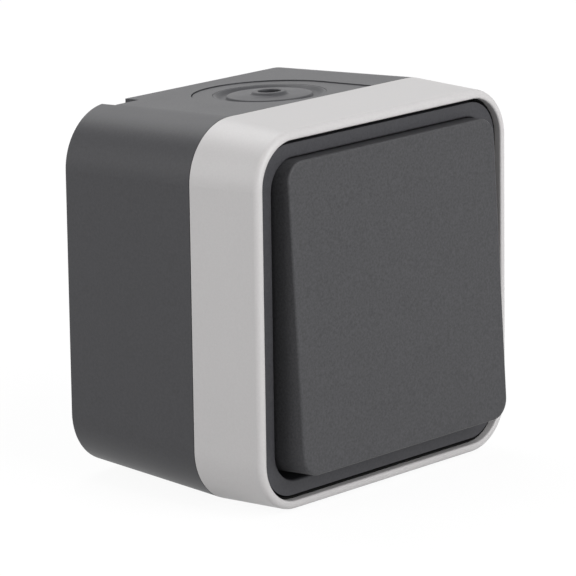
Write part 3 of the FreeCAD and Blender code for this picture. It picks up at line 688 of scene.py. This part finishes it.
class Shop:
    """What the sub-assemblies share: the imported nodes, the palette and the joints."""

    def __init__(self, palette: Palette) -> None:
        """Keep the palette."""
        self.palette = palette

    def dress(self, finish: Finishes, *names: str) -> None:
        """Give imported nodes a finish.

        Args:
            finish: The finish.
            names: The nodes.
        """
        for name in names:
            self.palette.paint(frame["nodes"][name], finish)
            log.info("%s: %s", name, finish.name)

    def fit(self, piece: bpy.types.Object, body: str, finish: Finishes, *nodes: str) -> None:
        """Paint a new piece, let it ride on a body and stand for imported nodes.

        Args:
            piece: The new piece.
            body: The body that carries it.
            finish: Its finish.
            nodes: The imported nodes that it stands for.
        """
        self.palette.paint(piece, finish)
        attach(piece, body)
        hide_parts(*nodes)
        log.info("%s: %s, %d faces", piece.name, finish.name, len(piece.data.polygons))

    @staticmethod
    def joint(name: str) -> dict[str, Any]:
        """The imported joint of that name."""
        return next(joint for joint in frame["joints"] if joint["name"] == name)

    @staticmethod
    def span(node: str) -> tuple[float, float, float, float]:
        """Half size across, half size up, and lowest and highest distance from the wall of a node."""
        low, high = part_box(node)
        return (high.x - low.x) / 2, (high.z - low.z) / 2, -high.y, -low.y


class End(Enum):
    """The two ends of the box that have a cable entry."""

    TOP = 1
    BOTTOM = -1


@dataclass
class CableEntry:
    """Membrane in a slide, at the top or the bottom of the box."""

    end: End
    rim_radius: float = 11.2 * MM
    rim_height: float = -0.2 * MM
    rim_slope: float = 0.3 * MM
    rim_round: float = 0.08 * MM
    trough_start: float = 10.0 * MM
    trough_end: float = 8.65 * MM
    trough_height: float = -1.0 * MM
    trough_round: float = 0.4 * MM
    trough_fillet: float = 0.22 * MM
    plateau_radius: float = 8.4 * MM
    plateau_height: float = -0.35 * MM
    nipple_base: float = 3.75 * MM
    nipple_fillet: float = 0.35 * MM
    nipple_radius: float = 3.3 * MM
    nipple_height: float = 0.3 * MM
    nipple_round: float = 0.24 * MM
    hole_radius: float = 2.25 * MM
    hole_round: float = 0.26 * MM
    pocket_radius: float = 2.35 * MM
    pocket_ceiling: float = -0.5 * MM
    pocket_floor: float = -1.3 * MM
    pocket_round: float = 0.1 * MM
    pocket_wall: float = 0.4 * MM
    pocket_skin: float = 0.595 * MM
    ledge_radius: float = 9.35 * MM
    foot: float = -2.75 * MM
    skin: float = 0.85 * MM
    upper_round: float = 0.2 * MM
    under_round: float = 0.3 * MM
    squareness: float = 0.99
    steps: int = 128

    def name(self) -> str:
        """The word that the entry's pieces start with."""
        return self.end.name.lower()

    def outward(self, node: str) -> Vector:
        """Outward direction of the slide's plate, from the faces that look nearest straight out.

        Args:
            node: The slide's node.

        Returns:
            The direction, as a unit vector.
        """
        axis = Vector((0, 0, self.end.value))
        total = Vector()
        for face in frame["nodes"][node].data.polygons:
            if face.normal.dot(axis) > self.squareness:
                total += face.normal * face.area
        return total.normalized()

    def place(self) -> Matrix:
        """Where the wall's surface line crosses the membrane's axis, with Z along the axis.

        Returns:
            The place of the bench's origin.
        """
        low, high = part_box(self.name() + "_entry_membrane")
        outward = self.outward(self.name() + "_entry_slide")
        top = high if self.end is End.TOP else low
        middle = Vector(((low.x + high.x) / 2, (low.y + high.y) / 2, (low.z + high.z) / 2))
        rise = top.z - middle.z - self.nipple_radius * abs(outward.y) * self.end.value
        reach = rise / outward.z - self.nipple_height
        turn = Vector((0, 0, 1)).rotation_difference(outward).to_matrix().to_4x4()
        return Matrix.Translation(middle + outward * reach) @ turn

    def membrane(self) -> bpy.types.Object:
        """Model the stepped disc with its soft trough, its plateau and its nipple's pocket.

        Returns:
            The piece.
        """
        ceiling = self.trough_height - self.skin
        floor = self.pocket_floor - self.pocket_skin
        Bench.turned(self.name() + "_membrane", [
            (0, floor, 0),
            (self.pocket_radius + self.pocket_wall, floor, self.under_round),
            (self.pocket_radius + self.pocket_wall * 2, ceiling, self.upper_round),
            (self.ledge_radius, ceiling, self.under_round),
            (self.ledge_radius, self.foot, 0),
            (self.rim_radius, self.foot, 0),
            (self.rim_radius, self.rim_height, self.rim_round),
            (self.rim_radius - self.rim_slope, self.rim_height, self.upper_round),
            (self.trough_start, self.trough_height, self.trough_round),
            (self.trough_end, self.trough_height, self.trough_fillet),
            (self.plateau_radius, self.plateau_height, self.upper_round),
            (self.nipple_base, self.plateau_height, self.nipple_fillet),
            (self.nipple_radius, self.nipple_height, self.nipple_round),
            (self.hole_radius, self.nipple_height, self.hole_round),
            (self.pocket_radius, self.pocket_ceiling, self.pocket_round),
            (self.pocket_radius, self.pocket_floor, self.upper_round),
            (0, self.pocket_floor, 0),
        ], self.steps)
        return Bench.settle(self.place(), SMOOTH_RUBBER)

    def build(self, shop: Shop) -> None:
        """Model the membrane and dress the slide.

        Args:
            shop: What the sub-assemblies share.
        """
        name = self.name()
        shop.fit(self.membrane(), "housing", Finishes.MEMBRANE, name + "_entry_membrane")
        shop.dress(Finishes.BOX, name + "_entry_slide")


@dataclass
class BackBox:
    """Back box with its sealed seam and sealed fixing holes."""

    gasket_band: float = 0.84 * MM
    gasket_corner: float = 10.95 * MM
    gasket_round: float = 0.3 * MM
    washer_bore: float = 2.6 * MM
    washer_radius: float = 4.6 * MM
    washer_round: float = 0.3 * MM
    ridge_height: float = 0.35 * MM
    ridge_width: float = 0.6 * MM
    ridge_round: float = 0.25 * MM
    ridge_fillet: float = 0.12 * MM
    steps: int = 48

    def gasket(self) -> bpy.types.Object:
        """Model the cord-like ring that lies in the seam.

        Returns:
            The piece.
        """
        half, _, low, high = Shop.span("cover_gasket")
        Bench.ring("seam_gasket", half * 2, self.gasket_corner, self.gasket_band, low, high,
                   self.gasket_round)
        return Bench.settle(UPRIGHT, SMOOTH_SEAL)

    def washers(self) -> bpy.types.Object:
        """Model one soft washer with a sealing lip, and copy it to the four fixing holes.

        Returns:
            The piece.
        """
        half, _, low, high = Shop.span("fixing_hole_seals")
        middle = half - self.washer_radius
        ridge = (self.washer_bore + self.washer_radius) / 2
        top = high - self.ridge_height
        Bench.turned("fixing_washers", [
            (self.washer_bore, low, 0),
            (self.washer_radius, low, 0),
            (self.washer_radius, top, self.washer_round),
            (ridge + self.ridge_width, top, self.ridge_fillet),
            (ridge, high, self.ridge_round),
            (ridge - self.ridge_width, top, self.ridge_fillet),
            (self.washer_bore, top, self.washer_round),
        ], self.steps, closed=True)
        Bench.repeat((middle * side, middle * level) for side in (-1, 1) for level in (-1, 1))
        return Bench.settle(UPRIGHT, SMOOTH_SEAL)

    def build(self, shop: Shop) -> None:
        """Dress the box and make its seals and both cable entries.

        Args:
            shop: What the sub-assemblies share.
        """
        shop.dress(Finishes.BOX, "back_box")
        shop.fit(self.gasket(), "housing", Finishes.SEAL, "cover_gasket")
        shop.fit(self.washers(), "housing", Finishes.SEAL, "fixing_hole_seals")
        for end in End:
            CableEntry(end).build(shop)


@dataclass
class Front:
    """Frame and bezel, with the diaphragm that they clamp."""

    lip_opening: float = 70.0 * MM
    lip_corner: float = 8.4 * MM
    # The sleeve is a thin dark ring in the gap between the lip and the bezel: painted shade there.
    sleeve_gap: float = 0.05 * MM
    sleeve_wall: float = 0.4 * MM
    sleeve_drop: float = 0.34 * MM
    sleeve_round: float = 0.12 * MM
    rim_band: float = 3.6 * MM
    rim_height: float = 1.0 * MM
    rim_round: float = 0.2 * MM
    overlap: float = 0.6 * MM
    flat_band: float = 1.4 * MM
    roll_width: float = 3.2 * MM
    roll_height: float = 0.62 * MM
    roll_steps: int = 10
    skin: float = 0.6 * MM
    hole_width: float = 21.6 * MM
    hole_height: float = 17.6 * MM
    hole_corner: float = 2.6 * MM
    hole_cuts: int = 6
    collar: float = 0.75 * MM

    def skin_sheet(self, middle: float, size: float) -> bpy.types.Object:
        """Model the rolled sheet between the rim and the collar.

        Args:
            middle: The sheet's distance from the wall.
            size: Its outer size, under the rim.

        Returns:
            The sheet, in object mode.
        """
        Bench.plate("diaphragm_sheet", size, size, self.lip_corner - self.rim_band + self.overlap, middle)
        bpy.ops.mesh.inset(thickness=self.flat_band)
        level = 0.0
        for step in range(1, self.roll_steps + 1):
            rise = self.roll_height * math.sin(math.pi * step / self.roll_steps) ** 2
            bpy.ops.mesh.inset(thickness=self.roll_width / self.roll_steps, depth=rise - level)
            level = rise
        bpy.ops.mesh.delete(type="FACE")
        bpy.ops.mesh.primitive_plane_add(size=1, location=(0, 0, middle))
        bpy.ops.transform.resize(value=(self.hole_width, self.hole_height, 1))
        bpy.ops.mesh.select_mode(type="VERT")
        bpy.ops.mesh.bevel(offset=self.hole_corner, segments=CORNER_STEPS, affect="VERTICES")
        bpy.ops.mesh.select_mode(type="FACE")
        bpy.ops.mesh.extrude_region_move(TRANSFORM_OT_translate={"value": (0, 0, self.collar)})
        bpy.ops.mesh.delete(type="FACE")
        data = Bench.active().data
        reach = size / 2 - self.flat_band - self.roll_width

        def is_brim(edge: bpy.types.MeshEdge) -> bool:
            """Tell the edges of the sheet's inner rim and of the collar's foot from the others.

            Args:
                edge: An edge of the sheet or the collar.

            Returns:
                Whether the bridge between them starts or ends there.
            """
            ends = [data.vertices[index].co for index in edge.vertices]
            level = all(abs(co.z - middle) < WELD for co in ends)
            inside = all(max(abs(co.x), abs(co.y)) < reach + WELD for co in ends)
            return level and inside

        Bench.pick("EDGE", is_brim)
        bpy.ops.mesh.bridge_edge_loops(number_cuts=self.hole_cuts, interpolation="LINEAR")
        Bench.weld()
        bpy.ops.mesh.normals_make_consistent(inside=False)
        Bench.apply("SOLIDIFY", thickness=self.skin, offset=0.0)
        return Bench.active()

    def sleeve(self, foot: float, width: float, corner: float) -> bpy.types.Object:
        """Model the thin dark sleeve that stands on the rim, between the lip and the bezel, as painted shade
        in the gap there.

        Args:
            foot: The sleeve's distance from the wall at its foot.
            width: Its outer size.
            corner: Radius of its outer corners.

        Returns:
            The sleeve, in object mode.
        """
        _, _, _, bezel_front = Shop.span("bezel")
        Bench.ring("diaphragm_sleeve", width, corner, self.sleeve_wall, foot,
                   bezel_front - self.sleeve_drop, self.sleeve_round)
        bpy.ops.object.mode_set(mode="OBJECT")
        return Bench.active()

    def diaphragm(self) -> bpy.types.Object:
        """Model the diaphragm's thick rim and join it to its sheet and to the dark sleeve that paints the
        shade in the lip's gap.

        Returns:
            The piece.
        """
        _, _, low, _ = Shop.span("rocker_seal")
        width = self.lip_opening - self.sleeve_gap * 2
        corner = self.lip_corner - self.sleeve_gap
        middle = low + self.rim_height / 2
        sheet = self.skin_sheet(middle, width - (self.rim_band - self.overlap) * 2)
        # Dark ring in the lip's gap, as painted shade.
        sleeve = self.sleeve(middle, width, corner)
        Bench.ring("diaphragm", width, corner, self.rim_band, low, low + self.rim_height, self.rim_round)
        bpy.ops.object.mode_set(mode="OBJECT")
        Bench.join("diaphragm", Bench.active(), sheet, sleeve)
        return Bench.settle(UPRIGHT, SMOOTH_SEAL)

    def build(self, shop: Shop) -> None:
        """Dress the frame and the bezel, and make the diaphragm.

        Args:
            shop: What the sub-assemblies share.
        """
        shop.dress(Finishes.FRAME, "cover_frame")
        shop.dress(Finishes.BEZEL, "bezel")
        # The diaphragm carries the dark sleeve, whose black seal colour paints the shade in the lip's gap.
        shop.fit(self.diaphragm(), "housing", Finishes.SEAL, "rocker_seal")


@dataclass
class Rocker:
    """Rocker on its carrier, with the plunger and its spring."""

    coil_radius: float = 1.75 * MM
    wire: float = 0.22 * MM
    wire_sides: int = 10
    coils: int = 5
    coil_steps: int = 28
    clearance: float = 0.1 * MM
    kept: float = 0.92

    def place(self) -> Matrix:
        """Where the rocker's own upright axis lies, from its pivot and half its travel.

        Returns:
            The place of the bench's origin.
        """
        tilt = Shop.joint("rocker_tilt")
        lean = Matrix.Rotation(math.radians(-tilt["range_deg"][1] / 2), 4, "X")
        pivot = Matrix.Translation(Vector(tilt["pos_m"]))
        return pivot @ lean @ pivot.inverted() @ UPRIGHT

    def spring(self) -> bpy.types.Object:
        """Wind the plunger's spring in round wire.

        Returns:
            The piece.
        """
        place = self.place()
        low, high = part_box("plunger_spring")
        middle = place.inverted() @ ((low + high) / 2)
        half = (high.y - low.y) / 2 - self.wire - self.clearance
        Bench.wound("plunger_coil", self.coil_radius, self.wire, middle.z - half, middle.z + half,
                    self.coils, self.wire_sides, self.coil_steps)
        piece = Bench.settle(place, SMOOTH_WIRE)
        axis = Vector(Shop.joint("plunger_slide")["axis"])
        seat = place @ Vector((0, 0, middle.z + half + self.wire))
        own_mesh(piece)
        return piece

    def build(self, shop: Shop) -> None:
        """Dress the rocker's pieces and wind the spring.

        Args:
            shop: What the sub-assemblies share.
        """
        shop.dress(Finishes.ROCKER, "rocker_cap")
        shop.dress(Finishes.CARRIER, "rocker_carrier")
        shop.dress(Finishes.INSERT, "plunger")
        shop.fit(self.spring(), "rocker", Finishes.STEEL, "plunger_spring")


class Recess(Enum):
    """How a screw's head is cut."""

    SLOT = 1
    CROSS = 2


@dataclass
class Screw:
    """Machine screw with a rounded head, a cut recess and a wound thread."""

    name: str
    recess: Recess
    shank: float
    head: float
    head_height: float
    tip: float
    neck: float
    slot: float = 0.7 * MM
    slot_depth: float = 0.9 * MM
    slot_reach: float = 2.2
    cross_reach: float = 1.3
    tip_chamfer: float = 0.3 * MM
    tip_length: float = 0.4 * MM
    neck_fillet: float = 0.1 * MM
    rim_round: float = 0.15 * MM
    rim_share: float = 0.65
    crown_share: float = 0.62
    crown_round: float = 0.25
    thread_start: float = 0.5 * MM
    thread_end: float = 0.4 * MM
    thread_sides: int = 4
    thread_steps: int = 24
    pitch: float = 0.7 * MM
    ridge: float = 0.16 * MM
    steps: int = 40

    def body(self) -> bpy.types.Object:
        """Turn the head and the shank, and cut the recess.

        Returns:
            The piece.
        """
        top = self.neck + self.head_height
        core = self.shank - self.ridge
        crown = self.head_height * self.crown_round
        Bench.turned(self.name, [
            (0, self.tip, 0),
            (core - self.tip_chamfer, self.tip, 0),
            (core, self.tip + self.tip_length, 0),
            (core, self.neck, self.neck_fillet),
            (self.head, self.neck, self.rim_round),
            (self.head, self.neck + self.head_height * self.rim_share, crown),
            (self.head * self.crown_share, top, crown),
            (0, top, 0),
        ], self.steps)
        bpy.ops.object.mode_set(mode="OBJECT")
        screw = Bench.active()
        reach = self.cross_reach if self.recess is Recess.CROSS else self.slot_reach
        for turn in range(self.recess.value):
            Bench.clear()
            bpy.ops.mesh.primitive_cube_add(size=1, location=(0, 0, top))
            cutter = Bench.active()
            cutter.scale = (self.slot, self.head * reach, self.slot_depth * 2)
            cutter.rotation_euler = (0, 0, turn * math.pi / 2)
            bpy.ops.object.transform_apply(location=True, rotation=True, scale=True)
            Bench.choose(screw)
            Bench.apply("BOOLEAN", operation="DIFFERENCE", object=cutter, solver="EXACT")
            Bench.choose(cutter)
            bpy.ops.object.delete()
        return screw

    def thread(self) -> bpy.types.Object:
        """Wind the thread's ridge.

        Returns:
            The piece.
        """
        low = self.tip + self.thread_start
        high = self.neck - self.thread_end
        turns = max(1, round((high - low) / self.pitch))
        return Bench.wound(self.name + "_thread", self.shank - self.ridge, self.ridge, low, high,
                           turns, self.thread_sides, self.thread_steps)

    def make(self, places: Iterable[tuple[float, float]]) -> bpy.types.Object:
        """Model the screw, copy it to its places and stand it up.

        Args:
            places: How far across and how far up each screw goes.

        Returns:
            The piece.
        """
        screw, thread = self.body(), self.thread()
        Bench.join(self.name, screw, thread)
        Bench.repeat(places)
        return Bench.settle(UPRIGHT, SMOOTH_METAL)


@dataclass
class Insert:
    """Switching insert: block, lid, screws, rivets and contacts."""

    post_place: float = 28.0 * MM
    screw_shank: float = 1.55 * MM
    screw_head: float = 2.9 * MM
    screw_head_height: float = 2.0 * MM
    terminal_across: float = 15.5 * MM
    terminal_up: float = 11.0 * MM
    terminal_shank: float = 1.65 * MM
    terminal_head: float = 2.3 * MM
    terminal_head_height: float = 1.8 * MM
    rivet_place: float = 18.0 * MM
    rivet_shank: float = 1.2 * MM
    rivet_head: float = 2.2 * MM
    rivet_head_height: float = 0.8 * MM
    rivet_crown_share: float = 0.55
    rivet_rim_share: float = 0.6
    rivet_crown_round: float = 0.3 * MM
    rivet_rim_round: float = 0.15 * MM
    rivet_steps: int = 32

    def screws(self) -> bpy.types.Object:
        """Model the two screws that hold the lid's ears on the posts.

        Returns:
            The piece.
        """
        _, _, low, high = Shop.span("insert_screws")
        screw = Screw("ear_screws", Recess.CROSS, self.screw_shank, self.screw_head,
                      self.screw_head_height, low, high - self.screw_head_height)
        return screw.make([(-self.post_place, 0), (self.post_place, 0)])

    def terminal_screws(self) -> bpy.types.Object:
        """Model the three clamp screws.

        Returns:
            The piece.
        """
        _, _, low, high = Shop.span("terminal_screws")
        screw = Screw("clamp_screws", Recess.SLOT, self.terminal_shank, self.terminal_head,
                      self.terminal_head_height, low, high - self.terminal_head_height)
        pair = [(self.terminal_across, self.terminal_up * level) for level in (-1, 1)]
        return screw.make(pair + [(-self.terminal_across, 0)])

    def rivets(self) -> bpy.types.Object:
        """Model one rivet with a domed head at each end, and copy it.

        Returns:
            The piece.
        """
        _, _, low, high = Shop.span("insert_rivets")
        height, head, shank = self.rivet_head_height, self.rivet_head, self.rivet_shank
        crown = head * self.rivet_crown_share
        rim = height * self.rivet_rim_share
        Bench.turned("lid_rivets", [
            (0, low, 0),
            (crown, low, self.rivet_crown_round),
            (head, low + rim, self.rivet_rim_round),
            (head, low + height, 0),
            (shank, low + height, 0),
            (shank, high - height, 0),
            (head, high - height, 0),
            (head, high - rim, self.rivet_rim_round),
            (crown, high, self.rivet_crown_round),
            (0, high, 0),
        ], self.rivet_steps)
        Bench.repeat([(0, -self.rivet_place), (0, self.rivet_place)])
        return Bench.settle(UPRIGHT, SMOOTH_METAL)

    def build(self, shop: Shop) -> None:
        """Dress the insert's pieces and make its screws and rivets.

        Args:
            shop: What the sub-assemblies share.
        """
        shop.dress(Finishes.INSERT, "insert_base", "insert_lid")
        shop.dress(Finishes.CONTACT_BRASS, "common_contact", "upper_fixed_contact",
                   "lower_fixed_contact", "terminal_clamps", "contact_arm")
        shop.dress(Finishes.CONTACT_TIP, "fixed_contact_tips", "moving_contact_tips")
        shop.fit(self.screws(), "housing", Finishes.STEEL, "insert_screws")
        shop.fit(self.rivets(), "housing", Finishes.STEEL, "insert_rivets")
        shop.fit(self.terminal_screws(), "housing", Finishes.STEEL, "terminal_screws")


@dataclass(frozen=True)
class Lamp:
    """Square soft lamp that looks at the switch."""

    name: str
    place: tuple[float, float, float]
    power: float
    side: float = 0.8

    def hang(self) -> None:
        """Add the lamp to the scene."""
        Bench.clear()
        bpy.ops.object.light_add(type="AREA", location=self.place)
        lamp = Bench.active()
        lamp.name = self.name
        lamp.data.shape = "SQUARE"
        lamp.data.size = self.side
        lamp.data.energy = self.power
        lamp.rotation_mode = "QUATERNION"
        lamp.rotation_quaternion = Vector(self.place).to_track_quat("Z", "Y")


@dataclass
class Studio:
    """Pale floor, white surround and soft lamps."""

    floor_size: float = 8.0
    floor_albedo: float = 0.62
    shown_albedo: float = 0.95
    floor_white: float = 0.91
    floor_glow: float = 1.02
    surround: float = 0.3
    lamps: tuple[Lamp, ...] = (
        Lamp("rear_left_lamp", (-1.05, 0.45, 0.35), 6.0),
        Lamp("front_lamp", (0.0, -1.2, 0.3), 9.6),
        Lamp("front_top_lamp", (0.2, -0.9, 0.85), 5.6),
        Lamp("rear_top_lamp", (0.2, 0.6, 1.0), 5.6),
    )

    def floor(self) -> None:
        """Lay the floor at the lowest point of the switch."""
        Bench.clear()
        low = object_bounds()[0].z
        bpy.ops.mesh.primitive_plane_add(size=self.floor_size, location=(0, 0, low))
        plane = Bench.active()
        plane.name = "floor"
        board, material = Board.of_material("pale_floor")
        seen = board.rays("Is Camera Ray", "Is Glossy Ray")
        plain, shown = ((level, level, level, 1.0) for level in (self.floor_albedo, self.shown_albedo))
        matt = board.add("ShaderNodeBsdfDiffuse", inputs={"Color": board.blend(seen, plain, shown)})
        white = board.add("ShaderNodeEmission", inputs={"Strength": self.floor_glow})
        mixed = board.add("ShaderNodeMixShader", inputs={0: seen * self.floor_white, 1: matt, 2: white})
        board.add("ShaderNodeOutputMaterial", inputs={"Surface": mixed})
        plane.data.materials.append(material)
        plane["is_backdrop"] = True

    def world(self) -> None:
        """White behind the switch and in its gloss, and an even light on its surfaces."""
        world = bpy.data.worlds.new("surround")
        bpy.context.scene.world = world
        world.use_nodes = True
        board = Board(world.node_tree)
        seen = board.rays("Is Camera Ray", "Is Glossy Ray", "Is Transmission Ray")
        strength = self.surround + seen * (1 - self.surround)
        back = board.add("ShaderNodeBackground", inputs={"Color": (1, 1, 1, 1), "Strength": strength})
        board.add("ShaderNodeOutputWorld", inputs={"Surface": back})

    def build(self) -> None:
        """Set up the whole studio."""
        bpy.context.scene.view_settings.view_transform = "Standard"
        self.floor()
        self.world()
        for lamp in self.lamps:
            lamp.hang()


@dataclass
class Viewpoint:
    """The photograph's camera, fitted to the edges of the box, the frame and the rocker."""

    azimuth: float = -47.817
    elevation: float = 13.073
    roll: float = -0.802
    distance: float = 832.9 * MM
    lens: float = 264.1
    target: tuple[float, float, float] = (-1.99 * MM, -27.0 * MM, -1.367 * MM)
    nearest: float = 0.01
    farthest: float = 20.0

    def build(self) -> None:
        """Place the camera and make it the scene's own."""
        turn, lift, tip = (math.radians(a) for a in (self.azimuth, self.elevation, self.roll))
        back = Vector((math.sin(turn) * math.cos(lift), -math.cos(turn) * math.cos(lift), math.sin(lift)))
        right = Vector((0, 0, 1)).cross(back).normalized()
        up = back.cross(right)
        across = right * math.cos(tip) + up * math.sin(tip)
        above = up * math.cos(tip) - right * math.sin(tip)
        Bench.clear()
        bpy.ops.object.camera_add(location=Vector(self.target) + back * self.distance)
        camera = Bench.active()
        camera.name = "viewpoint"
        camera.rotation_mode = "QUATERNION"
        camera.rotation_quaternion = Matrix((across, above, back)).transposed().to_quaternion()
        camera.data.lens = self.lens
        camera.data.clip_start = self.nearest
        camera.data.clip_end = self.farthest
        bpy.context.scene.camera = camera


def main() -> None:
    """Build the pieces in order, then the studio and the camera."""
    logging.basicConfig(level=logging.INFO, format="%(message)s")
    shop = Shop(Palette())
    for part in (BackBox(), Front(), Rocker(), Insert()):
        part.build(shop)
    Studio().build()
    Viewpoint().build()


if __name__ == "__main__":
    main()
